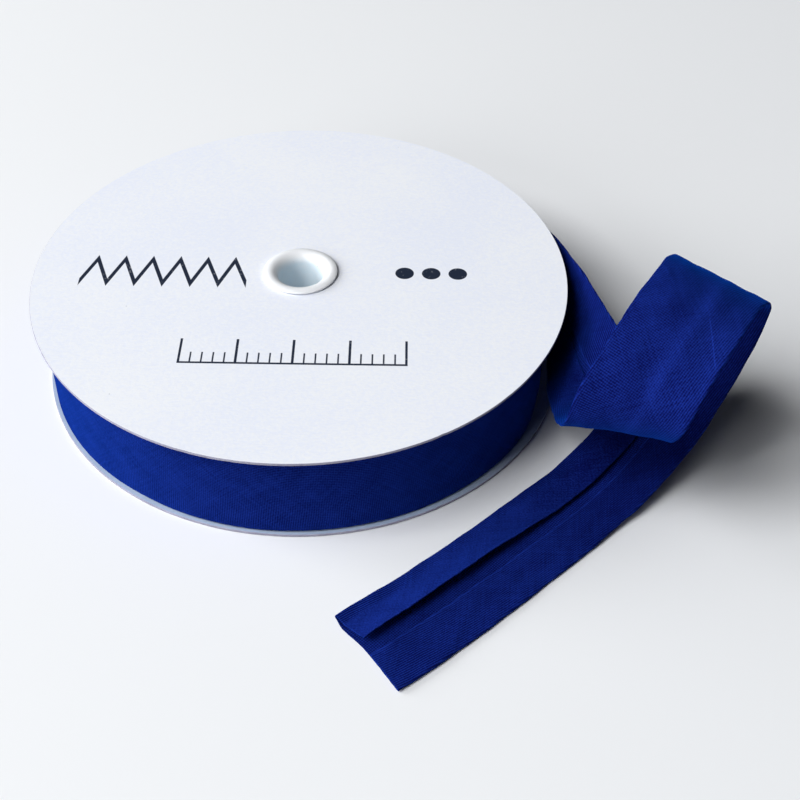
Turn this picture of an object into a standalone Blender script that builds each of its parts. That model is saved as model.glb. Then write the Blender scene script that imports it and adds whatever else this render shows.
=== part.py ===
"""A reel of folded bias tape between two card flanges, with its loose end curled over beside it.

Blender 4.5, metres, +Z up. The reel lies flat. Every piece is drawn with the reel's axis upright at x = 0,
y = 0, and the finished part is then moved so that the middle of its whole footprint is the origin.
Run it with: blender --background --python part.py
"""

import math
from collections import namedtuple

import bmesh
import bpy
import numpy as np

MM = 0.001

# Driving sizes of the reel
FLANGE_RADIUS = 50.0 * MM
CARD = 0.5 * MM
TAPE_WIDTH = 18.0 * MM
GAP = 0.3 * MM
LOWER_FLANGE_RADIUS = 49.5 * MM
LOWER_FLANGE_SHIFT = (0.5 * MM, 1.2 * MM)

# The eyelet that clamps the two cards
SPINDLE_HOLE_RADIUS = 4.65 * MM
BARREL_WALL = 1.0 * MM
RIM_RADIUS = 6.95 * MM
RIM_THICKNESS = 1.1 * MM
THROAT_ROUNDING = 0.9 * MM

# The cloth of the loose end: layer is one thickness of it, flap is the width folded in at each edge
LAYER = 0.7 * MM
LAYER_GAP = 0.3 * MM
FLAP = 8.3 * MM
CURL_STRIP = 3.2 * MM
FLAP_ROOT = 2.5 * MM
STATION_STEP = 3.6 * MM

# Straight steps that each stretch of its section is drawn in
CURL_STEPS = 3
FOLD_STEPS = 3
ROOT_STEPS = 2
FLAP_STEPS = 2

# Heights that follow from them
TAPE_BOTTOM = CARD + GAP
TAPE_TOP = TAPE_BOTTOM + TAPE_WIDTH
UPPER_CARD_BOTTOM = TAPE_TOP + GAP
REEL_TOP = UPPER_CARD_BOTTOM + CARD
BARREL_RADIUS = SPINDLE_HOLE_RADIUS + BARREL_WALL
HOLE_IN_PIECES = BARREL_RADIUS + GAP

FLANGE_SEGMENTS = 96
WOUND_SEGMENTS = 120
EYELET_SEGMENTS = 48
WOUND_EDGE_ROUNDING = 0.3 * MM

# The wound form, anticlockwise from above: degrees round the axis, then the radius in mm.
# The outer turns are a little uneven. From 345 to 405 degrees the last turn has come off,
# and the loose end lies in the recess that it leaves.
Turn = namedtuple("Turn", "degrees radius")
WOUND_FORM = (
    Turn(48, 47.9),
    Turn(90, 47.8),
    Turn(150, 47.9),
    Turn(200, 48.0),
    Turn(235, 47.6),
    Turn(270, 47.8),
    Turn(325, 47.9),
    Turn(339, 47.2),
    Turn(345, 45.4),
    Turn(405, 45.4),
)

# The loose end, from the roll to its cut end. x, y and z in mm are the middle of the tape's right side.
# turn and rise, in degrees, aim the line across the tape from the edge that starts at the bottom.
# curl turns up the edge strip on that side, lift opens its flap, dip bends that flap's root back,
# and gape opens the flap on the other side. All four are in degrees.
Station = namedtuple("Station", "place x y z turn rise curl lift dip gape")
LOOSE_END = (
    Station("still wound", 34.5, 33.3, 9.8, 42, 90, 0, 0, 0, 0),
    Station("loosens", 41.9, 24.2, 9.8, 36, 88, 0, 0, 0, 0),
    Station("parts from the roll", 47.3, 13.6, 9.9, 32, 78, 0, 0, 0, 0),
    Station("a leaning wall", 50.1, 1.5, 11.0, 29, 68, 0, 1, 0, 1),
    Station("leans further", 51.3, -9.0, 12.6, 22, 56, 0, 2, 0, 2),
    Station("starts to turn over", 51.9, -18.5, 15.0, 19, 47, 0, 3, 0, 3),
    Station("climbs", 53.6, -27.5, 16.5, 15, 31, 0, 3, 0, 3),
    Station("front bend, below", 54.5, -36.0, 19.0, 8, 12, 0, 2, 0, 2),
    Station("front bend", 54.7, -44.5, 22.4, -3, -10, 0, 1, 0, 1),
    Station("front bend, above", 55.6, -46.0, 27.5, -18, -13, 0, 1, 0, 1),
    Station("runs back up", 58.2, -44.0, 33.0, -31, -8, 0, 2, 0, 2),
    Station("slope", 61.7, -39.5, 37.0, -34, -6, 0, 2, 0, 2),
    Station("crest", 66.0, -33.5, 39.5, -33, -7, 0, 2, 0, 2),
    Station("rear bend, above", 71.0, -24.7, 38.8, -33, -9, 0, 1, 0, 1),
    Station("rear bend", 74.5, -18.3, 33.0, -33, -8, 0, 1, 0, 1),
    Station("rear bend, below", 74.0, -17.0, 25.0, -33, -7, 0, 2, 0, 2),
    Station("comes down", 70.0, -20.5, 14.5, -40, -3, 0, 4, 0, 2),
    Station("nearly down", 63.5, -27.5, 6.0, -45, 1, 2, 8, 0, 2),
    Station("touches down", 55.5, -35.5, 1.7, -46, 3, 4, 13, 0, 2),
    Station("lies flat", 46.5, -44.0, 0.4, -46, 0, 8, 17, 4, 2),
    Station("flap opens", 28.5, -61.0, 0.3, -49, 0, 20, 22, 16, 2),
    Station("cut end", 14.2, -72.9, 0.3, -56, 0, 46, 26, 34, 3),
)


# Materials and objects
def material(name, colour, roughness):
    made = bpy.data.materials.new(name)
    made.use_nodes = True
    shader = made.node_tree.nodes["Principled BSDF"]
    shader.inputs["Base Color"].default_value = (*colour, 1.0)
    shader.inputs["Roughness"].default_value = roughness
    shader.inputs["Metallic"].default_value = 0.0
    return made


def finish_object(name, mesh_builder, surface, sharp_degrees=35):
    """Turns a bmesh into a named object with outward faces."""
    bmesh.ops.recalc_face_normals(mesh_builder, faces=mesh_builder.faces)
    mesh = bpy.data.meshes.new(name)
    mesh_builder.to_mesh(mesh)
    mesh_builder.free()
    mesh.materials.append(surface)
    mesh.shade_smooth()
    mesh.set_sharp_from_angle(angle=math.radians(sharp_degrees))
    made = bpy.data.objects.new(name, mesh)
    bpy.context.collection.objects.link(made)
    return made


def closed_rings(sections):
    """A bmesh skin over sections of equal point count that run round and meet again."""
    builder = bmesh.new()
    rings = [[builder.verts.new(point) for point in section] for section in sections]
    for ring, following in zip(rings, rings[1:] + rings[:1]):
        for k in range(len(ring)):
            nxt = (k + 1) % len(ring)
            builder.faces.new((ring[k], ring[nxt], following[nxt], following[k]))
    return builder


# The reel
def turned(profile, segments):
    """Sections of a profile of (radius, height) points turned about the reel's axis."""
    sections = []
    for k in range(segments):
        angle = 2 * math.pi * k / segments
        sections.append([(r * math.cos(angle), r * math.sin(angle), z) for r, z in profile])
    return sections


def card_flange(name, radius, shift, bottom, surface):
    """A punched card disc: its hole is on the axis, and its outline may stand off it by a small shift."""
    sections = []
    for k in range(FLANGE_SEGMENTS):
        angle = 2 * math.pi * k / FLANGE_SEGMENTS
        across, along = math.cos(angle), math.sin(angle)
        hole = (HOLE_IN_PIECES * across, HOLE_IN_PIECES * along)
        rim = (radius * across + shift[0], radius * along + shift[1])
        top = bottom + CARD
        sections.append([(*hole, bottom), (*rim, bottom), (*rim, top), (*hole, top)])
    return finish_object(name, closed_rings(sections), surface)


def eyelet(surface):
    """The barrel through both cards, with a round flared rim on the upper one."""
    rim_bottom = REEL_TOP + GAP
    rim_top = rim_bottom + RIM_THICKNESS
    bead = RIM_THICKNESS / 2
    bead_centre = (RIM_RADIUS - bead, rim_bottom + bead)
    profile = [(BARREL_RADIUS, rim_bottom), (BARREL_RADIUS, 0.0), (SPINDLE_HOLE_RADIUS, 0.0)]
    profile.append((SPINDLE_HOLE_RADIUS, rim_top - THROAT_ROUNDING))
    for degrees in (30, 60, 90):
        turn = math.radians(degrees)
        radius = SPINDLE_HOLE_RADIUS + THROAT_ROUNDING * (1 - math.cos(turn))
        profile.append((radius, rim_top - THROAT_ROUNDING * (1 - math.sin(turn))))
    for degrees in (75, 40, 0, -40, -90):
        turn = math.radians(degrees)
        profile.append((bead_centre[0] + bead * math.cos(turn), bead_centre[1] + bead * math.sin(turn)))
    return finish_object("eyelet", closed_rings(turned(profile, EYELET_SEGMENTS)), surface)


def wound_radius(degrees):
    """The wound form's radius at a bearing, straight between the rows of its table."""
    first = WOUND_FORM[0].degrees
    bearing = first + (degrees - first) % 360
    stops = [row.degrees for row in WOUND_FORM] + [first + 360]
    radii = [row.radius for row in WOUND_FORM] + [WOUND_FORM[0].radius]
    return float(np.interp(bearing, stops, radii)) * MM


def wound_tape(surface):
    """The wound tape as one solid ring on the barrel, its folded edges slightly rounded."""
    sections = []
    soft = WOUND_EDGE_ROUNDING
    for k in range(WOUND_SEGMENTS):
        degrees = 360 * k / WOUND_SEGMENTS
        angle = math.radians(degrees)
        radius = wound_radius(degrees)
        profile = [
            (HOLE_IN_PIECES, TAPE_BOTTOM),
            (radius - soft, TAPE_BOTTOM),
            (radius, TAPE_BOTTOM + soft),
            (radius, TAPE_TOP - soft),
            (radius - soft, TAPE_TOP),
            (HOLE_IN_PIECES, TAPE_TOP),
        ]
        sections.append([(r * math.cos(angle), r * math.sin(angle), z) for r, z in profile])
    return finish_object("wound_tape", closed_rings(sections), surface)


# The loose end
def smooth_rows(rows, step):
    """Values along a smooth curve through the table's rows, a step apart along x, y and z."""
    values = np.array([row[1:] for row in rows], float)
    spans = np.linalg.norm(np.diff(values[:, :3], axis=0), axis=1)
    stops = np.concatenate([[0.0], np.cumsum(spans)])
    slopes = np.gradient(values, stops, axis=0)
    count = round(stops[-1] * MM / step)
    places = np.linspace(0.0, stops[-1], count + 1)
    row = np.clip(np.searchsorted(stops, places, side="right") - 1, 0, len(spans) - 1)
    length = spans[row][:, None]
    part = (places - stops[row])[:, None] / length
    start, end = values[row], values[row + 1]
    leaving, arriving = slopes[row] * length, slopes[row + 1] * length
    return (
        (2 * part**3 - 3 * part**2 + 1) * start
        + (part**3 - 2 * part**2 + part) * leaving
        + (3 * part**2 - 2 * part**3) * end
        + (part**3 - part**2) * arriving
    )


def half_path(curl, lift, dip):
    """The cloth's middle line from the tape's centre to a flap's free edge, as (across, inward, heading).

    It walks outward along the base, turns up the edge strip, goes round the fold and returns as the flap.
    """
    fold_radius = (LAYER + LAYER_GAP) / 2
    fold_centre = TAPE_WIDTH / 2 - LAYER / 2 - fold_radius
    free_length = FLAP - (TAPE_WIDTH / 2 - fold_centre)
    walk = [(fold_centre - CURL_STRIP, 0.0)]
    walk += [(CURL_STRIP / CURL_STEPS, curl / CURL_STEPS)] * CURL_STEPS
    fold_turn = (180 - lift) / FOLD_STEPS
    walk += [(2 * fold_radius * math.sin(math.radians(fold_turn / 2)), fold_turn)] * FOLD_STEPS
    walk += [(FLAP_ROOT / ROOT_STEPS, -dip / ROOT_STEPS)] * ROOT_STEPS
    walk += [((free_length - FLAP_ROOT) / FLAP_STEPS, 0.0)] * FLAP_STEPS
    across, inward, heading = 0.0, LAYER / 2, 0.0
    points = [(across, inward, heading)]
    for length, turn in walk:
        middle = math.radians(heading + turn / 2)
        across += length * math.cos(middle)
        inward += length * math.sin(middle)
        heading += turn
        points.append((across, inward, heading))
    return points


def tape_section(curl, lift, dip, gape):
    """The outline of the folded tape, as (across, inward) points round the cloth's whole thickness."""
    near = half_path(curl, lift, dip)
    far = half_path(0.0, gape, 0.0)
    path = [(-across, inward, -heading) for across, inward, heading in reversed(near)]
    path += far[1:]
    outer, inner = [], []
    for across, inward, heading in path:
        turn = math.radians(heading)
        side = (math.sin(turn) * LAYER / 2, -math.cos(turn) * LAYER / 2)
        outer.append((across + side[0], inward + side[1]))
        inner.append((across - side[0], inward - side[1]))
    return outer + inner[::-1]


def loose_sections():
    """Each station's outline in space, in metres."""
    rows = smooth_rows(LOOSE_END, STATION_STEP)
    middle = rows[:, :3] * MM
    along = np.gradient(middle, axis=0)
    turn, rise = np.radians(rows[:, 3]), np.radians(rows[:, 4])
    across = np.stack([np.cos(rise) * np.cos(turn), np.cos(rise) * np.sin(turn), np.sin(rise)], axis=1)
    inward = np.cross(along, across)
    inward /= np.linalg.norm(inward, axis=1)[:, None]
    sections = []
    for k, row in enumerate(rows):
        outline = tape_section(*row[5:])
        sections.append([middle[k] + u * across[k] + n * inward[k] for u, n in outline])
    return sections


def loose_tape(surface):
    """The loose end as one sheet with both edges folded in, skinned over its stations and capped."""
    builder = bmesh.new()
    rings = [[builder.verts.new(point) for point in section] for section in loose_sections()]
    for ring, following in zip(rings, rings[1:]):
        for k in range(len(ring)):
            nxt = (k + 1) % len(ring)
            builder.faces.new((ring[k], ring[nxt], following[nxt], following[k]))
    last = len(rings[0]) - 1
    for ring in (rings[0], rings[-1]):
        for k in range(len(ring) // 2 - 1):
            builder.faces.new((ring[k], ring[k + 1], ring[last - k - 1], ring[last - k]))
    return finish_object("loose_tape", builder, surface, sharp_degrees=50)


# The whole part
def clear_scene():
    for old in list(bpy.data.objects):
        bpy.data.objects.remove(old, do_unlink=True)


def centre_footprint(pieces):
    """Moves the pieces together, so that the middle of their footprint is the origin."""
    points = [vertex.co for piece in pieces for vertex in piece.data.vertices]
    middle_x = (min(p.x for p in points) + max(p.x for p in points)) / 2
    middle_y = (min(p.y for p in points) + max(p.y for p in points)) / 2
    for piece in pieces:
        piece.location = (-middle_x, -middle_y, 0.0)


clear_scene()
CARD_WHITE = material("card_white", (0.80, 0.83, 0.90), 0.75)
EYELET_WHITE = material("eyelet_white", (0.90, 0.91, 0.93), 0.30)
WOUND_BLUE = material("wound_blue", (0.006, 0.030, 0.26), 0.70)
LOOSE_BLUE = material("loose_blue", (0.008, 0.040, 0.30), 0.65)

PIECES = [
    card_flange("lower_flange", LOWER_FLANGE_RADIUS, LOWER_FLANGE_SHIFT, 0.0, CARD_WHITE),
    card_flange("upper_flange", FLANGE_RADIUS, (0.0, 0.0), UPPER_CARD_BOTTOM, CARD_WHITE),
    eyelet(EYELET_WHITE),
    wound_tape(WOUND_BLUE),
    loose_tape(LOOSE_BLUE),
]
centre_footprint(PIECES)
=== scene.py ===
# %% [markdown]
# # A roll of bias tape
# Bias tape is a strip of cloth cut slantwise, with both long edges folded in and pressed. Twenty metres of
# it are wound between two card discs that an eyelet clamps together, and the loose end turns over in a loop.
# A part made from solids already gives the sizes. This script dresses it: finer cards, a moulded eyelet, the
# turns of the roll, and cloth that is thin, folded and woven.

import math
from collections import namedtuple

import bmesh
import bpy
import numpy as np
from mathutils import Matrix, Vector


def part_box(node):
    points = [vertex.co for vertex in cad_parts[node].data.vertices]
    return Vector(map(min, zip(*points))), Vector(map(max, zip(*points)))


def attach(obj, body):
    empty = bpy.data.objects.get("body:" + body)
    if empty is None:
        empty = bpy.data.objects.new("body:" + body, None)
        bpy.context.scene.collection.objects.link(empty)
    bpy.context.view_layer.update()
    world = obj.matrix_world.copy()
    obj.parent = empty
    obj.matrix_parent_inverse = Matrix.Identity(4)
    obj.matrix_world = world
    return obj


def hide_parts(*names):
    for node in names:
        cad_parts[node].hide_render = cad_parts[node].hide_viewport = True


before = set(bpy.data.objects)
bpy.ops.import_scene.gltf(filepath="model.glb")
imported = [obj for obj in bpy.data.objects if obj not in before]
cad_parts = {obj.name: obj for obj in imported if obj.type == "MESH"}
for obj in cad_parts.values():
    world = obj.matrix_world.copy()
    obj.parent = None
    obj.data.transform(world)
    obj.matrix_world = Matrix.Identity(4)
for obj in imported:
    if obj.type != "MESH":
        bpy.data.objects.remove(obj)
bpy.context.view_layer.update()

# %% [markdown]
# ## Sizes
# The eyelet stands on the reel's axis, so the middle of its box gives that axis. The cards and the roll give
# the heights. Every piece below is drawn in millimetres around the axis, and one factor turns that into
# metres, which keeps the numbers easy to read.

# %% Read the reel's axis and heights
MM = 0.001


def height_range(node):
    """The lowest and highest z of a solid, in millimetres."""
    low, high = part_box(node)
    return low.z / MM, high.z / MM


eyelet_low, eyelet_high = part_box("eyelet")
REEL_AXIS = Vector(((eyelet_low.x + eyelet_high.x) / 2, (eyelet_low.y + eyelet_high.y) / 2, 0.0))
LOWER_BOTTOM, LOWER_TOP = height_range("lower_flange")
UPPER_BOTTOM, UPPER_TOP = height_range("upper_flange")
TAPE_BOTTOM, TAPE_TOP = height_range("wound_tape")
TAPE_WIDTH = TAPE_TOP - TAPE_BOTTOM
TAPE_MIDDLE = (TAPE_BOTTOM + TAPE_TOP) / 2
print("axis:", tuple(round(value / MM, 2) for value in REEL_AXIS), "mm, tape width:", round(TAPE_WIDTH, 2))

# %% [markdown]
# ## Camera
# The photo looks down at the reel by almost 43 degrees from half a step to its right, and is turned by less
# than one degree. A camera matrix is built from the viewing direction: its columns are the picture's right,
# the picture's up, and the way back from the lens.

# %% Place the camera
CAMERA_FROM_AXIS = Vector((18.95, -212.67, 184.57)) * MM
LOOK_DOWN = math.radians(42.78)
CAMERA_ROLL = math.radians(0.77)
FOCAL_PIXELS = 1428.0
PICTURE_WIDTH = 800.0


def camera_matrix(place, down, roll):
    """Looks along +Y, tipped down and rolled, from a place."""
    forward = Vector((0.0, math.cos(down), -math.sin(down)))
    level = Vector((1.0, 0.0, 0.0))
    upward = level.cross(forward)
    right = math.cos(roll) * level + math.sin(roll) * upward
    up = -math.sin(roll) * level + math.cos(roll) * upward
    columns = Matrix((right, up, -forward)).transposed().to_4x4()
    columns.translation = place
    return columns


lens = bpy.data.cameras.new("camera")
lens.sensor_width = 36.0
lens.lens = FOCAL_PIXELS * lens.sensor_width / PICTURE_WIDTH
lens.clip_start = 0.01
lens.clip_end = 20.0
camera = bpy.data.objects.new("camera", lens)
bpy.context.scene.collection.objects.link(camera)
camera.matrix_world = camera_matrix(REEL_AXIS + CAMERA_FROM_AXIS, LOOK_DOWN, CAMERA_ROLL)
bpy.context.scene.camera = camera
print("lens:", round(lens.lens, 2), "mm")

# %% [markdown]
# ## Light
# The left of the roll is bright and its right side is almost black, while the cards are evenly white. So one
# large soft panel stands high at the front left and one low on the left, with a weak one between them. A big
# panel close by blurs its shadows the way a studio does. The room itself gives only a little.

# %% Hang the light panels
bpy.context.scene.view_settings.view_transform = "Standard"


PANEL_DISTANCE = 2.0
PANEL_SIZE = 1.0
PANEL_COLOUR = (0.97, 0.985, 1.0)
ROOM_COLOUR = (0.90, 0.95, 1.0, 1.0)
ROOM_STRENGTH = 0.02


def light_panel(name, bearing, elevation, watts):
    """A square panel that faces the reel from a bearing and an elevation in degrees."""
    turn, lift = math.radians(bearing), math.radians(elevation)
    away = Vector((math.cos(lift) * math.cos(turn), math.cos(lift) * math.sin(turn), math.sin(lift)))
    panel = bpy.data.lights.new(name, "AREA")
    panel.shape = "SQUARE"
    panel.size = PANEL_SIZE
    panel.energy = watts
    panel.color = PANEL_COLOUR
    holder = bpy.data.objects.new(name, panel)
    bpy.context.scene.collection.objects.link(holder)
    holder.location = away * PANEL_DISTANCE
    holder.rotation_euler = away.to_track_quat("Z", "Y").to_euler()


light_panel("light_high", bearing=-150, elevation=52, watts=34.5)
light_panel("light_left", bearing=-189, elevation=20, watts=35.0)
light_panel("light_front", bearing=-135, elevation=18, watts=14.5)
room = bpy.data.worlds.new("room")
room.use_nodes = True
background = room.node_tree.nodes["Background"]
background.inputs["Color"].default_value = ROOM_COLOUR
background.inputs["Strength"].default_value = ROOM_STRENGTH
bpy.context.scene.world = room

# %% [markdown]
# ## Finishes: a short way to write node maths
# A finish is a small network of nodes. Wiring them by hand is long, so one class wraps the output of a node.
# Adding or multiplying two of them makes the Math node, and every other node comes from one method: its kind,
# its settings, then its sockets.

# %% Wrap a node's output in arithmetic


class Wire:
    """The output of a node in one material, with arithmetic that adds Math nodes."""

    def __init__(self, material, output=None):
        self.material = material
        self.output = output

    def node(self, kind, settings, sockets, output=0):
        """Adds a node: first its settings, then its sockets' values or links."""
        made = self.material.node_tree.nodes.new("ShaderNode" + kind)
        for name, value in settings.items():
            if name == "stops":
                set_stops(made.color_ramp, value)
            else:
                setattr(made, name, value)
        for name, value in sockets.items():
            if isinstance(value, Wire):
                self.material.node_tree.links.new(value.output, made.inputs[name])
            else:
                made.inputs[name].default_value = value
        return Wire(self.material, made.outputs[output])

    def math(self, operation, *values):
        return self.node("Math", {"operation": operation}, dict(enumerate(values)))

    def __add__(self, other):
        return self.math("ADD", self, other)

    def __radd__(self, other):
        return self.math("ADD", other, self)

    def __sub__(self, other):
        return self.math("SUBTRACT", self, other)

    def __rsub__(self, other):
        return self.math("SUBTRACT", other, self)

    def __mul__(self, other):
        return self.math("MULTIPLY", self, other)

    def __rmul__(self, other):
        return self.math("MULTIPLY", other, self)

    def clamped(self):
        """This value, kept between 0 and 1."""
        return self.node("Clamp", {}, {0: self})

    def absolute(self):
        """This value without its sign."""
        return self.math("ABSOLUTE", self)

    def from_nearest(self, pitch):
        """How far this value is from the nearest whole number of pitches."""
        return self.math("PINGPONG", self, pitch / 2)

    def larger(self, other):
        """The larger of this value and another."""
        return self.math("MAXIMUM", self, other)

    def along(self, stops):
        """A value read from a ramp at this place: stops are (place, value) pairs from 0 to 1."""
        greys = [(place, (value, value, value)) for place, value in stops]
        return self.node("ValToRGB", {"stops": greys}, {0: self})


def set_stops(ramp, stops):
    """Gives a ramp its (place, colour) stops."""
    while len(ramp.elements) > 1:
        ramp.elements.remove(ramp.elements[-1])
    for number, (place, colour) in enumerate(stops):
        stop = ramp.elements[0] if number == 0 else ramp.elements.new(place)
        stop.position = place
        stop.color = (*colour, 1.0)


print("Wire is ready")

# %% [markdown]
# Every finish here ends in the same shader, so one helper makes it with its constants and another one feeds
# the values that vary over the surface. Relief too small to model goes in as a bump, in millimetres.

# %% Start a finish and feed it


def finish(name, roughness, specular, **constants):
    """A new material, its shader with these constants, and the wire to start from."""
    made = bpy.data.materials.new(name)
    made.use_nodes = True
    shader = made.node_tree.nodes["Principled BSDF"]
    shader.inputs["Roughness"].default_value = roughness
    shader.inputs["Specular IOR Level"].default_value = specular
    for socket, value in constants.items():
        shader.inputs[socket.replace("_", " ")].default_value = value
    return made, shader, Wire(made)


def feed(shader, socket, wire):
    """Links a wire to one of the shader's sockets."""
    wire.material.node_tree.links.new(wire.output, shader.inputs[socket])


def feed_relief(shader, height_mm, strength):
    """Turns a height in millimetres into a bump on the shader's normal."""
    sockets = {"Height": height_mm, "Distance": MM, "Strength": strength}
    feed(shader, "Normal", height_mm.node("Bump", {}, sockets))


def mix_colours(share, first, second):
    """Goes from the first colour to the second as the share goes from 0 to 1."""
    settings = {"data_type": "RGBA"}
    return share.node("Mix", settings, {0: share, 6: first, 7: second}, 2)


def noise(wire, place, scale, detail=2.0, stretch=(1.0, 1.0, 1.0)):
    """Soft noise around 0.5, finer with a higher scale, stretched along the axes with a small factor."""
    spread = wire.node("VectorMath", {"operation": "MULTIPLY"}, {0: place, 1: stretch})
    return wire.node("TexNoise", {}, {"Vector": spread, "Scale": scale, "Detail": detail})


def place_in_mm(wire):
    """Where a point is, in millimetres from the reel's axis."""
    metres = wire.node("TexCoord", {}, {}, "Object")
    return wire.node("VectorMath", {"operation": "SCALE"}, {0: metres, "Scale": 1 / MM})


def parts(place):
    """The x, y and z of a vector wire."""
    split = {number: place.node("SeparateXYZ", {}, {0: place}, number) for number in range(3)}
    return split[0], split[1], split[2]


def cover(distance, reach, softness=0.08):
    """1 where a distance is under its reach and 0 beyond it, with a soft border."""
    return ((reach - distance) * (1 / softness) + 0.5).clamped()


print("helpers for the finishes are ready")

# %% [markdown]
# ## Paper, board and ink
# Each disc is thin board with white paper on its outer face. The paper has a fine grain, a faint cloudiness
# and a few specks. The printing is dark ink: here a zigzag, three dots and a plain scale of strokes, drawn by
# asking how far each point is from a line or a dot. That stays sharp at any size, unlike a picture.

# %% Draw the printed marks as distances


def zigzag_mark(x, y):
    """A sewn zigzag to the left of the eyelet."""
    tooth, height, middle, start, end, half_line = 5.2, 3.6, 0.4, -41.2, -10.0, 0.38
    slope = 4 * height / tooth
    wave = (x - start).from_nearest(tooth) * slope - height
    away = (y - middle - wave).absolute() * (1 / math.hypot(1, slope))
    beyond = (x - (start + end) / 2).absolute()
    return cover(away, half_line) * cover(beyond, (end - start) / 2)


def dot_marks(x, y):
    """Three dots to the right of the eyelet."""
    apart, middle_x, middle_y, radius = 5.0, 24.5, 0.7, 1.75
    aside = (x - middle_x).from_nearest(apart)
    above = y - middle_y
    squares = above * above + aside * aside
    beyond = (x - middle_x).absolute()
    return cover(squares.math("SQRT", squares), radius) * cover(beyond, 1.5 * apart)


def scale_marks(x, y):
    """A line with short and long strokes below the eyelet."""
    half_length, line, thin, thick = 20.0, -25.4, 0.15, 0.24
    half_short, half_long = 1.4, 3.2
    raised = y - line
    short = cover(x.from_nearest(2.0), thin) * cover((raised - half_short).absolute(), half_short)
    long = cover(x.from_nearest(10.0), thick) * cover((raised - half_long).absolute(), half_long)
    marks = short.larger(long).larger(cover(raised.absolute(), thick))
    return marks * cover(x.absolute(), half_length + 0.2)


print("marks: zigzag, dots, scale")

# %% Mix the paper, with or without ink
PAPER_COOL = (0.785, 0.812, 0.900, 1.0)
PAPER_WARM = (0.845, 0.857, 0.890, 1.0)
SPECK = (0.30, 0.32, 0.38, 1.0)
INK = (0.012, 0.019, 0.040, 1.0)


def paper_finish(name, printed):
    """White paper on board: fine grain, faint clouds and specks, and ink where it is printed."""
    made, shader, wire = finish(name, 0.62, 0.25)
    place = place_in_mm(wire)
    x, y, _ = parts(place)
    clouds = noise(wire, place, 0.045, 1.0)
    grain = noise(wire, place, 1.6, 3.0)
    fibres = noise(wire, place, 0.9, 2.0, (1.0, 5.0, 1.0))
    shade = ((clouds - 0.5) * 1.4 + (grain - 0.5) * 2.2 + (fibres - 0.5) * 1.2 + 0.5).clamped()
    colour = mix_colours(shade, PAPER_COOL, PAPER_WARM)
    specks = cover(wire.node("TexVoronoi", {}, {"Vector": place, "Scale": 0.10}), 0.012, 0.006)
    colour = mix_colours(specks * 0.5, colour, SPECK)
    if printed:
        ink = zigzag_mark(x, y).larger(dot_marks(x, y)).larger(scale_marks(x, y))
        uneven = (1.2 - (grain - 0.5) * 1.6).clamped()
        colour = mix_colours(ink * uneven, colour, INK)
    feed(shader, "Base Color", colour)
    feed(shader, "Roughness", 0.54 + grain * 0.18)
    feed_relief(shader, grain * 0.035 + fibres * 0.025, 0.5)
    return made


def board_finish(name, dark, light):
    """Bare board: grey-blue, with short fibres."""
    made, shader, wire = finish(name, 0.85, 0.15)
    place = place_in_mm(wire)
    fibres = noise(wire, place, 1.3, 4.0, (1.0, 3.0, 8.0))
    mottle = noise(wire, place, 0.35, 2.0)
    shade = ((fibres - 0.5) * 1.1 + (mottle - 0.5) * 0.8 + 0.5).clamped()
    feed(shader, "Base Color", mix_colours(shade, dark, light))
    feed_relief(shader, fibres * 0.05, 0.4)
    return made


PRINTED_PAPER = paper_finish("printed_paper", True)
PLAIN_PAPER = paper_finish("plain_paper", False)
BARE_BOARD = board_finish("bare_board", (0.32, 0.40, 0.53, 1.0), (0.42, 0.50, 0.63, 1.0))
CUT_BOARD = board_finish("cut_board", (0.19, 0.18, 0.25, 1.0), (0.42, 0.41, 0.50, 1.0))
print("card finishes:", PRINTED_PAPER.name, PLAIN_PAPER.name, BARE_BOARD.name, CUT_BOARD.name)

# %% [markdown]
# ## One way to skin every piece
# A disc, an eyelet, a wound roll and a folded tape are all the same idea: one closed section, repeated along
# a way. Round things close on themselves and a tape has two ends. So one helper joins sections with quads,
# gives each strip of faces its finish, and turns the faces outward.

# %% Join closed sections with quads


def skin(name, sections, finishes, strips=None, sharp=40.0):
    """An object from sections of points in mm that close round the axis. strips picks a finish per strip."""
    count, around = sections.shape[:2]
    point = np.arange(around)
    beside = (point + 1) % around
    faces = []
    for row in range(count):
        here, there = row * around, (row + 1) % count * around
        faces.append(np.stack([here + point, here + beside, there + beside, there + point], axis=1))
    mesh = bpy.data.meshes.new(name)
    mesh.from_pydata((sections.reshape(-1, 3) * MM).tolist(), [], np.concatenate(faces).tolist())
    for surface in finishes:
        mesh.materials.append(surface)
    if strips is not None:
        mesh.polygons.foreach_set("material_index", np.tile(np.array(strips, np.int32), count))
    return shown(name, mesh, sharp)


def shown(name, mesh, sharp):
    """Turns a mesh's faces outward, shades it smooth and puts it on the reel's axis."""
    builder = bmesh.new()
    builder.from_mesh(mesh)
    bmesh.ops.recalc_face_normals(builder, faces=builder.faces)
    builder.to_mesh(mesh)
    builder.free()
    mesh.shade_smooth()
    mesh.set_sharp_from_angle(angle=math.radians(sharp))
    piece = bpy.data.objects.new(name, mesh)
    bpy.context.scene.collection.objects.link(piece)
    piece.location = REEL_AXIS
    print(name, "has", len(mesh.polygons), "faces")
    return piece


def turned(profile, segments):
    """Sections of a (radius, height) profile turned about the axis."""
    angle = 2 * np.pi * np.arange(segments) / segments
    radius, height = np.array(profile, float).T
    x = np.cos(angle)[:, None] * radius
    y = np.sin(angle)[:, None] * radius
    return np.stack([x, y, np.broadcast_to(height, x.shape)], axis=2)


print("skin and turned are ready")

# %% [markdown]
# ## The two cards
# A punched disc has a slightly eased edge, a face that isn't perfectly flat, and a rim with tiny nicks where
# the knife or a table edge caught it. The lower disc sits a little off the axis, as it does in the photo.
# Sections turned about the axis carry all of that: the profile gives the edge, and the turn gives the waves.

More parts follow.
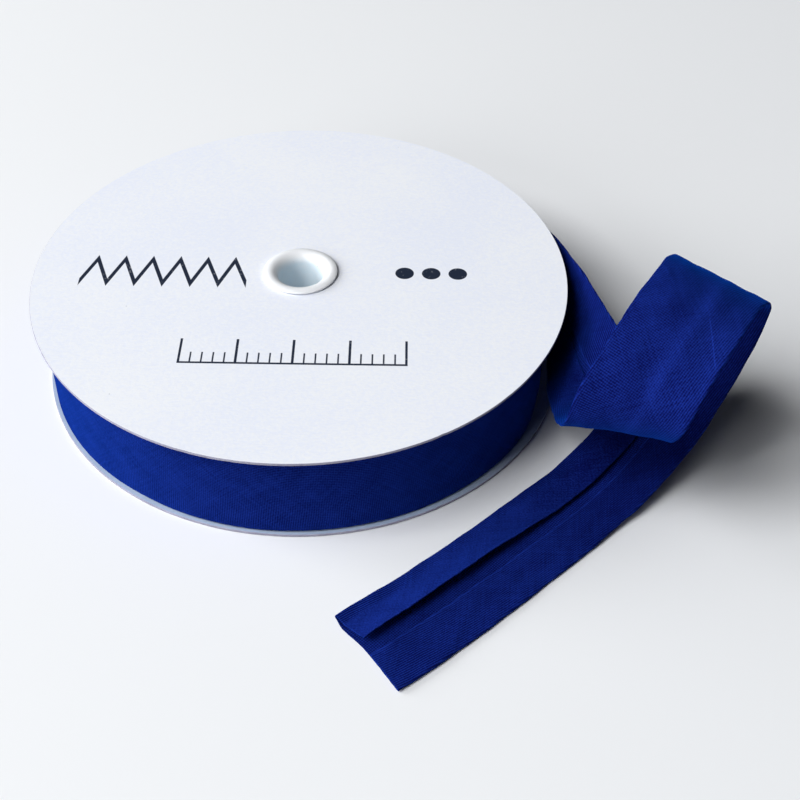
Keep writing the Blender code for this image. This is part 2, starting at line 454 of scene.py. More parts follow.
# %% Punch the cards
HOLE_RADIUS = 5.95
CARD_RADII = (12.0, 20.0, 28.0, 36.0, 42.0, 46.5, 49.0)
CARD_SEGMENTS = 320
EASE = 0.07
NICK_WIDTH = 0.5
NICKS = (
    (251.0, 0.04), (259.5, 0.07), (263.0, 0.04), (284.0, 0.05), (301.5, 0.08), (318.0, 0.06), (207.0, 0.04),
)


def card_profile(radius, bottom, top):
    """The closed profile of a disc, and which face each of its strips belongs to."""
    inner = [r * radius / 50.0 for r in CARD_RADII]
    points = [(HOLE_RADIUS, bottom)] + [(r, bottom) for r in inner] + [(radius - EASE, bottom)]
    strips = [0] * (len(inner) + 1)
    points += [(radius, bottom + EASE), (radius, top - EASE), (radius - EASE, top)]
    strips += [1, 1, 1]
    points += [(r, top) for r in reversed(inner)] + [(HOLE_RADIUS, top)]
    strips += [2] * (len(inner) + 1) + [1]
    return points, strips


def card(name, radius, shift, bottom, top, finishes, warp):
    """A disc whose rim waves by warp in mm and has small nicks."""
    profile, strips = card_profile(radius, bottom, top)
    sections = turned(profile, CARD_SEGMENTS)
    reach = np.linalg.norm(sections[:, :, :2], axis=2)
    bearing = np.degrees(np.arctan2(sections[:, :, 1], sections[:, :, 0])) % 360
    wave = np.sin(np.radians(2 * bearing + 40)) + 0.6 * np.sin(np.radians(3 * bearing + 200))
    sections[:, :, 2] += warp * wave * (reach / radius) ** 2
    outer = np.clip((reach - 0.9 * radius) / (0.1 * radius), 0, 1)
    dent = sum(depth * np.exp(-(((bearing - at) / NICK_WIDTH) ** 2)) for at, depth in NICKS)
    sections[:, :, :2] *= (1 - (dent * outer / radius))[:, :, None]
    sections[:, :, 0] += shift[0] * reach / radius
    sections[:, :, 1] += shift[1] * reach / radius
    return skin(name, sections, finishes, strips, sharp=28.0)


UPPER_CARD = card(
    "card_upper", 50.0, (0.0, 0.0), UPPER_BOTTOM, UPPER_TOP, [BARE_BOARD, CUT_BOARD, PRINTED_PAPER], 0.06
)
LOWER_CARD = card(
    "card_lower", 49.5, (0.5, 1.2), LOWER_BOTTOM, LOWER_TOP, [PLAIN_PAPER, CUT_BOARD, BARE_BOARD], 0.0
)

# %% [markdown]
# ## The eyelet
# A white plastic eyelet clamps the cards. Its rim is a thin lip that rises to a soft crest and rolls down
# into the hole like a small funnel, and it shines a little. It is one turned profile, the way a lathe or a
# mould would give it, and it was punched half a millimetre behind the middle. Down in the hole the plastic
# is painted greyer and bluer, which is painted shade, and it is made duller there. A weak subsurface lets
# some light through the thin rim.

# %% Mix the white plastic
PLASTIC = (0.87, 0.88, 0.90, 1.0)
PLASTIC_IN_PAINTED_SHADE = (0.76, 0.86, 0.93, 1.0)
GRIT = (0.10, 0.13, 0.16, 1.0)


def plastic_finish():
    """Glossy white, painted greyer and bluer deeper in the hole as painted shade, with a few dark grains."""
    soft = {"Subsurface_Weight": 0.5, "Subsurface_Radius": (1.0, 1.0, 1.0), "Subsurface_Scale": 0.0015}
    made, shader, wire = finish("eyelet_plastic", 0.28, 0.35, Coat_Roughness=0.20, **soft)
    place = place_in_mm(wire)
    _, _, z = parts(place)
    # deep grows down into the hole: the colour it mixes in is painted shade, and the plastic is also made
    # duller there.
    deep = ((UPPER_TOP - z) * 0.7 + 0.2).clamped()
    hole_noise = noise(wire, place, 1.1, 3.0)
    grains = cover(wire.node("TexVoronoi", {}, {"Vector": place, "Scale": 0.55}), 0.07, 0.05)
    share = (deep * (0.55 + hole_noise * 0.7)).clamped()
    colour = mix_colours(share, PLASTIC, PLASTIC_IN_PAINTED_SHADE)
    colour = mix_colours(grains * (0.15 + deep * 0.3), colour, GRIT)
    feed(shader, "Base Color", colour)
    feed(shader, "Roughness", 0.30 + deep * 0.3 + hole_noise * 0.06)
    feed(shader, "Coat Weight", 0.25 - deep * 0.25)
    feed_relief(shader, noise(wire, place, 0.5, 2.0) * 0.03, 0.3)
    return made


EYELET_PLASTIC = plastic_finish()

# %% Turn the eyelet
HOLE = 4.25
BARREL = 5.65
LIP = 6.90
CREST_RADIUS = 5.9
CREST_HEIGHT = 0.74
FUNNEL_DEPTH = 1.6
LIP_EDGE = 0.20
LIP_DROP = 0.14
PUNCHED_OFF = 0.48


def eyelet_profile():
    """The closed profile: up the outside of the barrel, over the lip and down the funnel."""
    base = UPPER_TOP + 0.02
    crest = UPPER_TOP + CREST_HEIGHT
    points = [(BARREL, base), (BARREL, LOWER_BOTTOM)]
    points += [(HOLE + 0.15, LOWER_BOTTOM), (HOLE, LOWER_BOTTOM + 0.15)]
    points += [(HOLE, z) for z in np.linspace(LOWER_BOTTOM + 4.0, crest - FUNNEL_DEPTH - 1.0, 5)]
    for turn in np.radians(np.linspace(0, 90, 13)):
        across = HOLE + (CREST_RADIUS - HOLE) * (1 - math.cos(turn))
        points.append((across, crest - FUNNEL_DEPTH * (1 - math.sin(turn))))
    lip_run = LIP - LIP_EDGE - CREST_RADIUS
    for part in np.linspace(0.2, 1.0, 5):
        points.append((CREST_RADIUS + lip_run * part, crest - LIP_DROP * part**2))
    edge = crest - LIP_DROP - LIP_EDGE
    for turn in np.radians((60, 30, 0, -30, -60)):
        points.append((LIP - LIP_EDGE * (1 - math.cos(turn)), edge + LIP_EDGE * math.sin(turn)))
    points.append((LIP - 0.45, base + 0.08))
    return points


eyelet_sections = turned(eyelet_profile(), 144)
eyelet_sections[:, :, 1] += PUNCHED_OFF
EYELET = skin("eyelet_turned", eyelet_sections, [EYELET_PLASTIC], sharp=50.0)

# %% [markdown]
# ## Bias cloth
# Plain weave cut on the bias has its threads at 45 degrees to the tape. Where warp and weft cross, they make
# a small chequer, and the eye joins it into fine lines along and across the tape. The finish works in flat
# coordinates that every point of the cloth carries: millimetres across, millimetres along, and which side it
# is. So the weave runs round each fold as it does in real cloth. Two cosines give the chequer, and stretched
# noise gives thick and thin threads.
#
# Ramps across the tape say how clearly each family of lines shows, from the near raw edge at 0 to the far one
# at 1. The colour also carries painted light and shade, by the place on the loose end: the flaps that lie are
# painted lighter, the inside of the loop is painted darker, and along the tape some stretches are painted
# lighter or darker. A few panels can't give that shade, and under other light it would look wrong. A ramp
# holds nothing below 0, so in the painted light and shade ramps 0.20 stands for no change.

# %% Weave the cloth
CLOTH_DARK = (0.0020, 0.0030, 0.052, 1.0)
CLOTH_LIGHT = (0.0103, 0.0308, 0.274, 1.0)
LINE_PITCH = 0.40
WEAVE_SLANT = math.radians(6.8)
HALF_CUT = 17.3
TINT = (0.0, 0.15, 1.0, 1.0)
LENGTHWISE_SHOWS = (
    (0.0, 0.1), (0.16, 0.12), (0.185, 1.0), (0.24, 1.0), (0.27, 0.4), (0.5, 0.5), (0.62, 0.75), (0.75, 0.95),
)
CROSSWISE_SHOWS = ((0.0, 0.08), (0.22, 0.20), (0.28, 0.90), (0.50, 0.42), (0.74, 0.22), (1.0, 0.20))
NAP_SHOWS = ((0.0, 1.0), (0.18, 1.0), (0.24, 0.55))
NEAR_FOLD = ((0.165, 0.0), (0.185, 1.0), (0.235, 1.0), (0.25, 0.3))
NO_CHANGE = 0.20
# Painted light and shade: the lying flaps lighter, the flaps in the loop darker, and stretches along the tape
# lighter or darker.
PAINTED_LIGHT_WHERE_IT_LIES = ((0.0, 0.42), (0.20, 0.42), (0.25, 0.2), (0.76, 0.17), (0.82, 0.17), (1.0, 0.28))
PAINTED_SHADE_IN_THE_LOOP = ((0.23, 0.02), (0.26, 0.17), (0.5, 0.2), (0.74, 0.28), (0.77, 0.02))
PAINTED_ALONG_REACH = 240
PAINTED_LIGHT_AND_SHADE_ALONG = (
    (0.0, 0.20), (0.19, 0.16), (0.25, 0.12), (0.35, 0.08), (0.42, 0.20), (0.49, 0.32), (0.52, 0.22),
    (0.55, 0.08), (0.69, 0.08), (0.75, 0.15), (0.79, 0.20), (0.90, 0.20), (0.96, 0.25),
)


def weave(wire, across, along, wander):
    """The two families of fine lines: along the tape, then across it."""
    turn = 2 * math.pi / LINE_PITCH
    slanting = across * (math.cos(WEAVE_SLANT) * turn) - along * (math.sin(WEAVE_SLANT) * turn)
    crossing = across * (math.sin(WEAVE_SLANT) * turn) + along * (math.cos(WEAVE_SLANT) * turn)
    return wire.math("COSINE", slanting + wander), wire.math("COSINE", crossing + wander)


def threads(wire, across, along):
    """Thick and thin threads, in the two directions of the weave, around 0."""
    total = None
    for slant in (math.radians(45), math.radians(-45)):
        lengthwise = across * math.cos(slant) + along * math.sin(slant)
        sideways = across * (-math.sin(slant) * 3.2) + along * (math.cos(slant) * 3.2)
        place = wire.node("CombineXYZ", {}, {0: lengthwise * 0.12, 1: sideways, 2: slant * 9})
        streaks = wire.node("TexNoise", {}, {"Vector": place, "Scale": 1.0, "Detail": 1.0}) - 0.5
        total = streaks if total is None else total + streaks
    return total


def pulled_thread(across, along, first, last):
    """A single lighter thread between two places on the flat cloth."""
    run = math.dist(first, last)
    step = ((last[0] - first[0]) / run, (last[1] - first[1]) / run)
    forward = (across - first[0]) * step[0] + (along - first[1]) * step[1]
    aside = (across - first[0]) * step[1] - (along - first[1]) * step[0]
    on = cover((forward - run / 2).absolute(), run / 2, 1.5)
    return on * cover(aside.absolute(), 0.10, 0.12)


def painted_light_band(across, along):
    """A faint band painted lighter where the two flaps' free edges press on the base: painted light for the
    tilt of the cloth there.
    """
    band = cover((across - 1.4).absolute(), 0.8, 1.2)
    return band * cover((along - 106).absolute(), 32, 10)


def painted_light_and_shade(spot, along, front):
    """Painted light and shade on the cloth: lighter or darker by its place on the loose end."""
    lying = ((along - 180) * 0.06).clamped()
    loop = ((along - 12) * 0.04).clamped() * (1 - lying)
    painted_where_it_lies = spot.along(PAINTED_LIGHT_WHERE_IT_LIES) - NO_CHANGE
    painted_in_the_loop = spot.along(PAINTED_SHADE_IN_THE_LOOP) - NO_CHANGE
    painted_by_length = (along * (1 / PAINTED_ALONG_REACH)).along(PAINTED_LIGHT_AND_SHADE_ALONG) - NO_CHANGE
    return (lying * painted_where_it_lies + loop * painted_in_the_loop) * front + painted_by_length


def cloth_finish(name):
    """Blue bias cloth that reads its flat coordinates from the mesh."""
    made, shader, wire = finish(name, 0.7, 0.0, Sheen_Weight=0.30, Sheen_Roughness=0.45, Sheen_Tint=TINT)
    place = wire.node("Attribute", {"attribute_name": "cloth"}, {}, "Vector")
    across, along, wrong = parts(place)
    front = 1 - wrong
    spot = across * (0.5 / HALF_CUT) + 0.5
    wander = (noise(wire, place, 0.22, 1.0) - 0.5) * 5.0
    lengthwise, crosswise = weave(wire, across, along, wander)
    even = wrong * 0.85
    # Along the near fold by the cut end the ribs show more, and the colour is painted darker there: painted
    # shade where the fold turns away from the light.
    near_fold_ribs_and_shade = spot.along(NEAR_FOLD) * ((along - 211) * 0.10).clamped() * front
    ribs = lengthwise * (spot.along(LENGTHWISE_SHOWS) * front + even + near_fold_ribs_and_shade * 0.7)
    ribs = ribs + crosswise * (spot.along(CROSSWISE_SHOWS) * front + even)
    fuzz = (noise(wire, place, 3.0, 2.0) - 0.5) * (spot.along(NAP_SHOWS) * 1.7)
    mottle = noise(wire, place, 0.30, 2.0, (1.0, 0.6, 1.0)) - 0.5
    slubs = threads(wire, across, along)
    cut = cover(HALF_CUT - across, 0.30, 0.25) * front
    pulled = pulled_thread(across, along, (2.9, 110.5), (8.3, 102.5))
    # The band over the flaps' free edges is painted light.
    band = painted_light_band(across, along) * front
    # The last term here is painted light and shade, set by the place on the loose end.
    shade = 0.48 + ribs * 0.40 + fuzz + mottle * 0.6 + slubs * 0.55 + painted_light_and_shade(spot, along, front)
    # The wrong side, which shows only in the slit, is painted a little darker: painted shade.
    shade = shade + cut * 0.5 + pulled * 0.55 + band * 0.12 - wrong * 0.06 - near_fold_ribs_and_shade * 0.22
    feed(shader, "Base Color", mix_colours((shade * 0.667).clamped(), CLOTH_DARK, CLOTH_LIGHT))
    feed(shader, "Roughness", (0.70 - ribs * 0.08).clamped())
    feed_relief(shader, ribs * 0.020 + slubs * 0.03 + fuzz * 0.04, 0.8)
    return made


BIAS_CLOTH = cloth_finish("bias_cloth")


def carry_flat_place(piece, across, along, wrong):
    """Stores each point's place on the flat cloth, in mm, with 0 or 1 for its right or wrong side."""
    values = np.stack(np.broadcast_arrays(across, along, wrong), axis=-1)
    stored = piece.data.attributes.new("cloth", "FLOAT_VECTOR", "POINT")
    stored.data.foreach_set("vector", values.reshape(-1).astype(np.float32))


print("cloth finish:", BIAS_CLOTH.name)

# %% [markdown]
# ## The wound roll
# Twenty metres of folded tape make about 117 turns. From the side only the last turn shows, and that one
# belongs to the loose end's cloth below. The ends of the roll are the folded edges, turn on turn: a fine
# ridge for each. They are drawn as a profile with a crest and a valley for each turn, a little uneven.

# %% Wind the roll
BARREL_CLEAR = 5.95
TURNS = 117
ROLL_SEGMENTS = 96
CLOTH = 0.20
FOLD_GAP = 0.12
FOLDED = 2 * CLOTH + FOLD_GAP
OUTER_TURN = (
    (48.0, 47.9), (90.0, 47.8), (150.0, 47.9), (200.0, 48.0), (235.0, 47.6), (270.0, 47.8), (325.0, 47.9),
    (335.0, 47.6), (345.0, 46.7), (352.0, 46.55), (395.0, 46.6), (404.0, 47.2),
)


def outer_radius(degrees):
    """The last turn's outer radius. From 345 to 395 degrees it is the turn under the loose end."""
    stops, radii = zip(*OUTER_TURN)
    bearing = stops[0] + (np.asarray(degrees, float) - stops[0]) % 360
    return np.interp(bearing, (*stops, stops[0] + 360), (*radii, radii[0]))


def wound_roll():
    """A ring of turns: crests and valleys at both ends, and a plain side under the last turn."""
    generator = np.random.default_rng(7)
    part = np.repeat(np.arange(TURNS) / TURNS, 2)
    part[1::2] += 0.5 / TURNS
    crest = np.tile((0.0, 0.14), TURNS) + np.repeat(generator.uniform(0, 0.07, TURNS), 2)
    share = np.concatenate([part, [1.0, 1.0], part[::-1]])
    sides = [TAPE_BOTTOM + 0.3, TAPE_TOP - 0.3]
    height = np.concatenate([TAPE_BOTTOM + crest, sides, TAPE_TOP - crest[::-1]])
    angle = 2 * np.pi * np.arange(ROLL_SEGMENTS) / ROLL_SEGMENTS
    outside = outer_radius(np.degrees(angle)) - FOLDED - 0.08
    radius = BARREL_CLEAR + share * (outside - BARREL_CLEAR)[:, None]
    x, y = np.cos(angle)[:, None] * radius, np.sin(angle)[:, None] * radius
    sections = np.stack([x, y, np.broadcast_to(height, x.shape)], axis=2)
    piece = skin("tape_roll", sections, [BIAS_CLOTH], sharp=75.0)
    carry_flat_place(piece, height - TAPE_MIDDLE, radius * angle[:, None], 0.0)
    return piece


ROLL = wound_roll()

# %% [markdown]
# ## The way of the loose tape
# The cloth comes off the roll, leans outward, turns over in a front bend, climbs to a crest, comes round a
# rear bend and lies down on its way to the cut end. Rows along that way say where the middle of the tape is,
# how the line across it is aimed, and how far its edges are curled and its flaps lifted. A smooth curve runs
# through the rows. The same cloth also makes the last full turn of the roll, so no joint shows.

# %% Set out the way
Row = namedtuple("Row", "place x y z turn rise curl lift dip gape")
LOOSE_END = (
    Row("still wound", 34.5, 33.3, 9.8, 42, 90, 0, 0, 0, 0),
    Row("loosens", 41.9, 24.2, 9.8, 36, 88, 0, 0, 0, 0),
    Row("parts from the roll", 47.3, 13.6, 9.9, 32, 78, 0, 0, 0, 0),
    Row("a leaning wall", 50.4, 1.7, 10.9, 29, 71, 0, 0, 0, 0),
    Row("leans further", 51.4, -8.9, 12.5, 22, 58, 0, 0, 0, 0),
    Row("starts to turn over", 51.9, -18.5, 15.0, 19, 47, 0, 0, 0, 0),
    Row("climbs", 53.6, -27.5, 16.5, 15, 31, 0, 1, 0, 1),
    Row("front bend, below", 54.5, -36.0, 19.0, 8, 12, 0, 1, 0, 1),
    Row("front bend", 54.7, -44.5, 22.6, -3, -12, 0, 1, 0, 1),
    Row("front bend, above", 55.6, -46.0, 27.5, -18, -13, 0, 1, 0, 1),
    Row("runs back up", 58.2, -44.0, 33.0, -31, -8, 0, 2, 0, 2),
    Row("slope", 61.7, -39.5, 37.0, -34, -6, 4, 5, 0, 1),
    Row("crest", 66.0, -33.5, 39.5, -33, -7, 18, 20, 0, 1),
    Row("rear bend, above", 71.0, -24.7, 38.8, -33, -9, 8, 10, 0, 1),
    Row("rear bend", 74.5, -18.3, 33.0, -33, -8, 0, 1, 0, 1),
    Row("rear bend, below", 74.0, -17.0, 25.0, -33, -7, 0, 2, 0, 2),
    Row("comes down", 70.0, -20.5, 14.5, -40, -3, 0, 4, 0, 2),
    Row("nearly down", 63.5, -27.5, 6.0, -45, 1, 1, 7, 0, 0),
    Row("touches down", 55.5, -35.5, 1.6, -46, 2, 1, 8, 0, 0),
    Row("lies flat", 46.5, -44.0, 0.3, -46, 0, 2, 7, 3, 0),
    Row("flap stands up", 36.5, -53.5, 0.1, -47, 0, 2, 8, 10, 0),
    Row("flap still up", 24.5, -64.5, 0.1, -51, 0, 8, 12, 11, 0),
    Row("cut end", 14.3, -73.1, 0.2, -56, 0, 36, 32, 12, 0),
)


def last_turn_rows():
    """Rows of the last full turn, clockwise from above, up to where the loose end starts."""
    rows = []
    for degrees in np.arange(404.0, 50.0, -10.0):
        radius, angle = float(outer_radius(degrees)), math.radians(degrees)
        x, y = radius * math.cos(angle), radius * math.sin(angle)
        rows.append(Row("last turn", x, y, TAPE_MIDDLE, 42, 90, 0, 0, 0, 0))
    return rows


WAY = last_turn_rows()
TURN_ROWS = len(WAY)
WAY += list(LOOSE_END)
print("rows:", TURN_ROWS, "on the roll and", len(LOOSE_END), "on the loose end")

# %% Run a smooth curve through the rows
TURN_STEP = 2.4
LOOSE_STEP = 0.50


def smooth_way(rows):
    """Values along a smooth curve through the rows, and how far each one is past the roll's edge."""
    values = np.array([row[1:] for row in rows], float)
    spans = np.linalg.norm(np.diff(values[:, :3], axis=0), axis=1)
    stops = np.concatenate([[0.0], np.cumsum(spans)])
    slopes = np.gradient(values, stops, axis=0)
    leaves = stops[TURN_ROWS]
    on_roll = np.linspace(0.0, leaves, round(leaves / TURN_STEP), endpoint=False)
    loose = np.linspace(leaves, stops[-1], round((stops[-1] - leaves) / LOOSE_STEP) + 1)
    places = np.concatenate([on_roll, loose])
    row = np.clip(np.searchsorted(stops, places, side="right") - 1, 0, len(spans) - 1)
    length = spans[row][:, None]
    part = (places - stops[row])[:, None] / length
    start, end = values[row], values[row + 1]
    smooth = (2 * part**3 - 3 * part**2 + 1) * start + (3 * part**2 - 2 * part**3) * end
    smooth += (part**3 - 2 * part**2 + part) * slopes[row] * length
    smooth += (part**3 - part**2) * slopes[row + 1] * length
    return smooth, places - leaves


WAY_VALUES, ALONG = smooth_way(WAY)
print("stations:", len(ALONG), "from", round(float(ALONG[0])), "to", round(float(ALONG[-1])), "mm")

# %% [markdown]
# ## The folded section
# Seen from its cut end, the tape is one thin cloth: a base 18 mm wide, a fold at each edge, and two flaps
# that come back over the base and leave a slit between them. The section is walked in small steps, each with
# its own turn, which bends a cloth without stretching it. Only the turns change along the tape.

# %% Walk the section
FLAP = 8.3
CURL_STRIP = 2.4
CURL_SHARES = (0.30, 0.30, 0.20, 0.10, 0.05, 0.05)
FLAP_ROOT = 2.4
ROOT_SHARES = (0.0, 0.0, 0.0, 0.3, 0.4, 0.3)
BASE_STEPS, CURL_STEPS, FOLD_STEPS, ROOT_STEPS, FLAP_STEPS = 9, len(CURL_SHARES), 8, len(ROOT_SHARES), 8


def half_walk():
    """Lengths of the steps from the middle of the base to a flap's free edge."""
    fold_radius = (CLOTH + FOLD_GAP) / 2
    fold_centre = TAPE_WIDTH / 2 - CLOTH / 2 - fold_radius
    free = FLAP - (TAPE_WIDTH / 2 - fold_centre)
    lengths = [(fold_centre - CURL_STRIP) / BASE_STEPS] * BASE_STEPS
    lengths += [CURL_STRIP / CURL_STEPS] * CURL_STEPS
    lengths += [2 * fold_radius * math.sin(math.pi / 2 / FOLD_STEPS)] * FOLD_STEPS
    lengths += [FLAP_ROOT / ROOT_STEPS] * ROOT_STEPS + [(free - FLAP_ROOT) / FLAP_STEPS] * FLAP_STEPS
    return np.array(lengths)


def half_section(curl, lift, dip):
    """For every station, (across, inward, heading) along the cloth's middle line to one free edge."""
    lengths = half_walk()
    zero = np.zeros_like(curl)
    turns = [zero] * BASE_STEPS + [curl * share for share in CURL_SHARES]
    turns += [(180 - lift) / FOLD_STEPS] * FOLD_STEPS
    turns += [-dip * share for share in ROOT_SHARES] + [zero] * FLAP_STEPS
    turns = np.radians(np.stack(turns, axis=1))
    after = np.cumsum(turns, axis=1)
    middle = after - turns / 2
    across = np.cumsum(lengths * np.cos(middle), axis=1)
    inward = np.cumsum(lengths * np.sin(middle), axis=1) + CLOTH / 2
    return across, inward, after


def whole_section(values):
    """The cloth's middle line from the near flap's edge to the far flap's edge, at every station."""
    curl, lift, dip, gape = values[:, 5:9].T
    near_across, near_inward, near_heading = half_section(curl, lift, dip)
    far_across, far_inward, far_heading = half_section(np.zeros_like(curl), gape, np.zeros_like(curl))
    centre = np.zeros((len(curl), 1))
    across = np.concatenate([-near_across[:, ::-1], centre, far_across], axis=1)
    inward = np.concatenate([near_inward[:, ::-1], centre + CLOTH / 2, far_inward], axis=1)
    heading = np.concatenate([-near_heading[:, ::-1], centre, far_heading], axis=1)
    return across, inward, heading


HALF_FLAT = np.cumsum(half_walk())
FLAT_ACROSS = np.concatenate([-HALF_FLAT[::-1], [0.0], HALF_FLAT])

# %% [markdown]
# ## Creases
# Pressed tape is never quite even. The edges of the flaps print through the base as a soft trough and ridge,
# the folded edges wander a little, and some dents are left from winding. Each crease is placed on the flat
# cloth: where it starts and ends, how high it stands, and how wide it is.

# %% Place the creases
Crease = namedtuple("Crease", "across_0 along_0 across_1 along_1 height width")
CREASES = (
    Crease(-0.2, 78, -0.4, 134, -0.09, 1.1),
    Crease(2.4, 80, 2.2, 136, 0.10, 1.2),
    Crease(-5.2, 90, -4.0, 118, 0.14, 1.8),
    Crease(4.8, 96, 5.6, 126, -0.12, 1.6),
    Crease(-3.0, 92, 2.4, 97, -0.10, 2.4),
    Crease(0.5, 112, 6.5, 117, 0.10, 2.6),
    Crease(-7.2, 100, -6.4, 128, -0.10, 1.5),
    Crease(11.8, 176, 12.6, 214, -0.12, 1.4),
    Crease(13.0, 150, 14.2, 190, 0.10, 1.5),
    Crease(10.6, 196, 15.0, 203, -0.10, 2.0),
    Crease(-13.0, 160, -12.0, 205, 0.10, 1.5),
    Crease(-14.4, 190, -11.2, 197, -0.10, 2.0),
    Crease(-12.6, 150, -13.8, 176, -0.08, 1.6),
    Crease(12.0, 12, 12.6, 60, 0.10, 1.6),
    Crease(-12.2, 8, -12.6, 56, 0.10, 1.6),
)


def crease_field(across, along):
    """How far the cloth stands out, in mm, at every place on it."""
    total = np.zeros(np.broadcast(across, along).shape)
    for crease in CREASES:
        run = math.dist((crease.across_0, crease.along_0), (crease.across_1, crease.along_1))
        step = ((crease.across_1 - crease.across_0) / run, (crease.along_1 - crease.along_0) / run)
        forward = (across - crease.across_0) * step[0] + (along - crease.along_0) * step[1]
        aside = (across - crease.across_0) * step[1] - (along - crease.along_0) * step[0]
        fade = np.clip(forward / (0.3 * run), 0, 1) * np.clip((run - forward) / (0.3 * run), 0, 1)
        uneven = 1 + 0.35 * np.sin(forward / 3.1 + crease.along_0)
        total += crease.height * uneven * fade**2 * (3 - 2 * fade) * np.exp(-((aside / crease.width) ** 2))
    return total


def ripple(along, *waves):
    """A slow uneven wave: each of waves is (length in mm, height in mm, start in degrees)."""
    return sum(height * np.sin(2 * np.pi * along / length + math.radians(at)) for length, height, at in waves)


print("creases:", len(CREASES))

# %% [markdown]
# ## The loose tape as cloth
# Now the way, the section and the creases meet. Every station gets its own directions: along the tape, across
# it, and inward. The middle line is moved by the creases, and half the cloth's thickness to either side gives
# the two skins of one closed, thin sheet. The raw edges are slightly ragged and the end is cut a bit askew.
#
# Hand-pressed folds are never straight. Small tables, each a row of places along the loose end and the
# millimetres there, let both free edges wander and the near fold swell in the loop. PINCH narrows the section
# by up to a twentieth where it lies, and CUT_ASKEW says how far each place of the cut stands out.

# %% Build the cloth
CUT_ASKEW = (
    (-17.3, -13.0, -8.8, -6.5, -3.0, 0.0),
    (-0.3, 0.3, 0.9, 0.8, 0.2, -0.1),
)
END_REACH = 6.0
EDGE_COLUMNS = (1.0, 0.87, 0.74, 0.61, 0.48, 0.35, 0.22, 0.10)
NEAR_WANDER = (
    (155, 167, 176, 186, 199, 213, 220, 230),
    (0.0, 0.1, 0.05, -0.05, -0.6, -0.85, -0.9, -1.2),
)
FAR_WANDER = (
    (150, 165, 174, 181, 194, 202, 209, 217, 229),
    (0.0, 0.25, 0.55, 0.65, 0.35, 0.35, 0.3, 0.1, 0.05),
)
NEAR_SWELL = ((103, 110, 113, 117), (0.0, 0.32, 0.28, 0.0))
PINCH = ((145, 165, 178, 192, 200, 211, 231), (1.0, 0.96, 0.95, 0.95, 0.965, 0.98, 0.985))


def station_frames(values):
    """The middle point and the across and inward directions of every station."""
    middle = values[:, :3]
    along = np.gradient(middle, axis=0)
    turn, rise = np.radians(values[:, 3]), np.radians(values[:, 4])
    across = np.stack([np.cos(rise) * np.cos(turn), np.cos(rise) * np.sin(turn), np.sin(rise)], axis=1)
    inward = np.cross(along, across)
    inward /= np.linalg.norm(inward, axis=1)[:, None]
    along /= np.linalg.norm(along, axis=1)[:, None]
    return middle, along, across, inward


def cloth_skins():
    """The outer and inner skins, each as stations of points in mm."""
    across, inward, heading = whole_section(WAY_VALUES)
    flat, along = np.meshgrid(FLAT_ACROSS, ALONG)
    loose = np.clip(along / 30, 0, 1)
    bulge = crease_field(flat, along)
    bulge += loose * 0.05 * ripple(along + 2.0 * flat, (17, 1, 0), (9.3, 0.6, 140), (5.1, 0.35, 60))
    edges = np.clip((np.abs(flat) - 5) / 4, 0, 1)
    across = across + edges * np.sign(across) * 0.05 * ripple(along, (31, 1, 20), (13.7, 0.6, 200))
    across -= edges * (flat < 0) * np.interp(along, *NEAR_SWELL)
    ragged = 0.03 * ripple(along, (1.9, 1, 0), (2.9, 0.8, 50), (11, 1.4, 110))
    for edge in (0, -1):
        sign = -1 if edge == 0 else 1
        across[:, edge] += sign * ragged[:, edge] * np.cos(heading[:, edge])
        inward[:, edge] += sign * ragged[:, edge] * np.sin(heading[:, edge])
    for column, share in enumerate(EDGE_COLUMNS):
        across[:, column] += share * np.interp(ALONG, *NEAR_WANDER)
        across[:, -1 - column] += share * np.interp(ALONG, *FAR_WANDER)
    across = across * np.interp(ALONG, *PINCH)[:, None]
    side = np.stack([np.sin(heading), -np.cos(heading)], axis=2)
    line = np.stack([across, inward], axis=2) + side * bulge[:, :, None]
    return line + side * (CLOTH / 2), line - side * (CLOTH / 2)


def in_space(skin_points):
    """Carries a skin's (across, inward) points to where their stations are."""
    middle, along, across, inward = station_frames(WAY_VALUES)
    sideways = skin_points[:, :, :1] * across[:, None]
    placed = middle[:, None] + sideways + skin_points[:, :, 1:] * inward[:, None]
    askew = np.interp(FLAT_ACROSS, *CUT_ASKEW)
    near_end = np.clip((ALONG - ALONG[-1]) / END_REACH + 1, 0, 1) ** 2
    placed += along[:, None] * (near_end[:, None] * askew)[:, :, None]
    frayed = 0.012 * ripple(FLAT_ACROSS, (1.3, 1, 0), (2.3, 1, 70), (7.1, 2.5, 20))
    placed[-1] += along[-1] * frayed[:, None]
    return placed


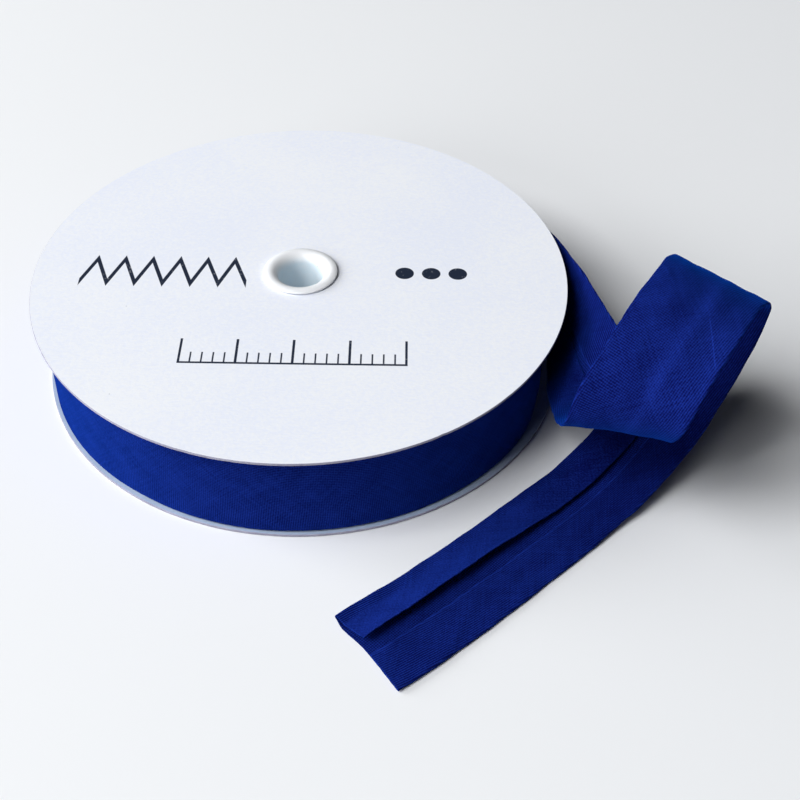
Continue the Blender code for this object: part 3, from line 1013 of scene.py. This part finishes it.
def loose_cloth():
    """The tape as one closed sheet: two skins, joined at the free edges and at both ends."""
    outer, inner = (in_space(points) for points in cloth_skins())
    rings = np.concatenate([outer, inner[:, ::-1]], axis=1)
    count, around = rings.shape[:2]
    half = around // 2
    point = np.arange(around)
    beside = (point + 1) % around
    faces = [
        np.stack([row + point, row + beside, row + around + beside, row + around + point], axis=1)
        for row in range(0, (count - 1) * around, around)
    ]
    rim = np.arange(half - 1)
    for row in (0, (count - 1) * around):
        faces.append(row + np.stack([rim, rim + 1, around - 2 - rim, around - 1 - rim], axis=1))
    mesh = bpy.data.meshes.new("tape_loose")
    mesh.from_pydata((rings.reshape(-1, 3) * MM).tolist(), [], np.concatenate(faces).tolist())
    mesh.materials.append(BIAS_CLOTH)
    piece = shown("tape_loose", mesh, 60.0)
    wrong = np.concatenate([np.zeros(half), np.ones(half)])
    flat = np.concatenate([FLAT_ACROSS, FLAT_ACROSS[::-1]])
    carry_flat_place(piece, flat[None, :], ALONG[:, None], wrong[None, :])
    return piece


LOOSE = loose_cloth()
heights = [v.co.z / MM for v in LOOSE.data.vertices]
print("loose tape from", round(min(heights), 2), "to", round(max(heights), 2), "mm high")

# %% [markdown]
# ## Floor
# A plain pale surface, slightly grained so that it isn't perfectly uniform. It belongs to the stage and not
# to the part.

# %% Lay the floor


def floor_finish():
    """Pale matt ground with the faintest clouds."""
    made, shader, wire = finish("pale_floor", 0.9, 0.1)
    place = wire.node("TexCoord", {}, {}, "Object")
    clouds = noise(wire, place, 6.0, 2.0)
    feed(shader, "Base Color", mix_colours(clouds, (0.83, 0.835, 0.845, 1.0), (0.85, 0.855, 0.865, 1.0)))
    return made


builder = bmesh.new()
bmesh.ops.create_circle(builder, cap_ends=True, radius=1.6, segments=64)
floor_mesh = bpy.data.meshes.new("floor")
builder.to_mesh(floor_mesh)
builder.free()
floor_mesh.materials.append(floor_finish())
FLOOR = bpy.data.objects.new("floor", floor_mesh)
FLOOR.location = (0.0, 0.0, -0.0001)
bpy.context.scene.collection.objects.link(FLOOR)
print("floor:", FLOOR.name)

# %% [markdown]
# ## Join the dressed pieces to the part
# Nothing moves on this part, so every piece rides on its one body and stands for its own solid.

# %% Ride and replace
for piece, node, material_slot in (
    (UPPER_CARD, "upper_flange", "card"),
    (LOWER_CARD, "lower_flange", "card"),
    (EYELET, "eyelet", "eyelet"),
    (ROLL, "wound_tape", "tape"),
    (LOOSE, "loose_tape", "tape"),
):
    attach(piece, "root")
    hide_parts(node)

# %% Bring the view layer up to date
bpy.context.view_layer.update()
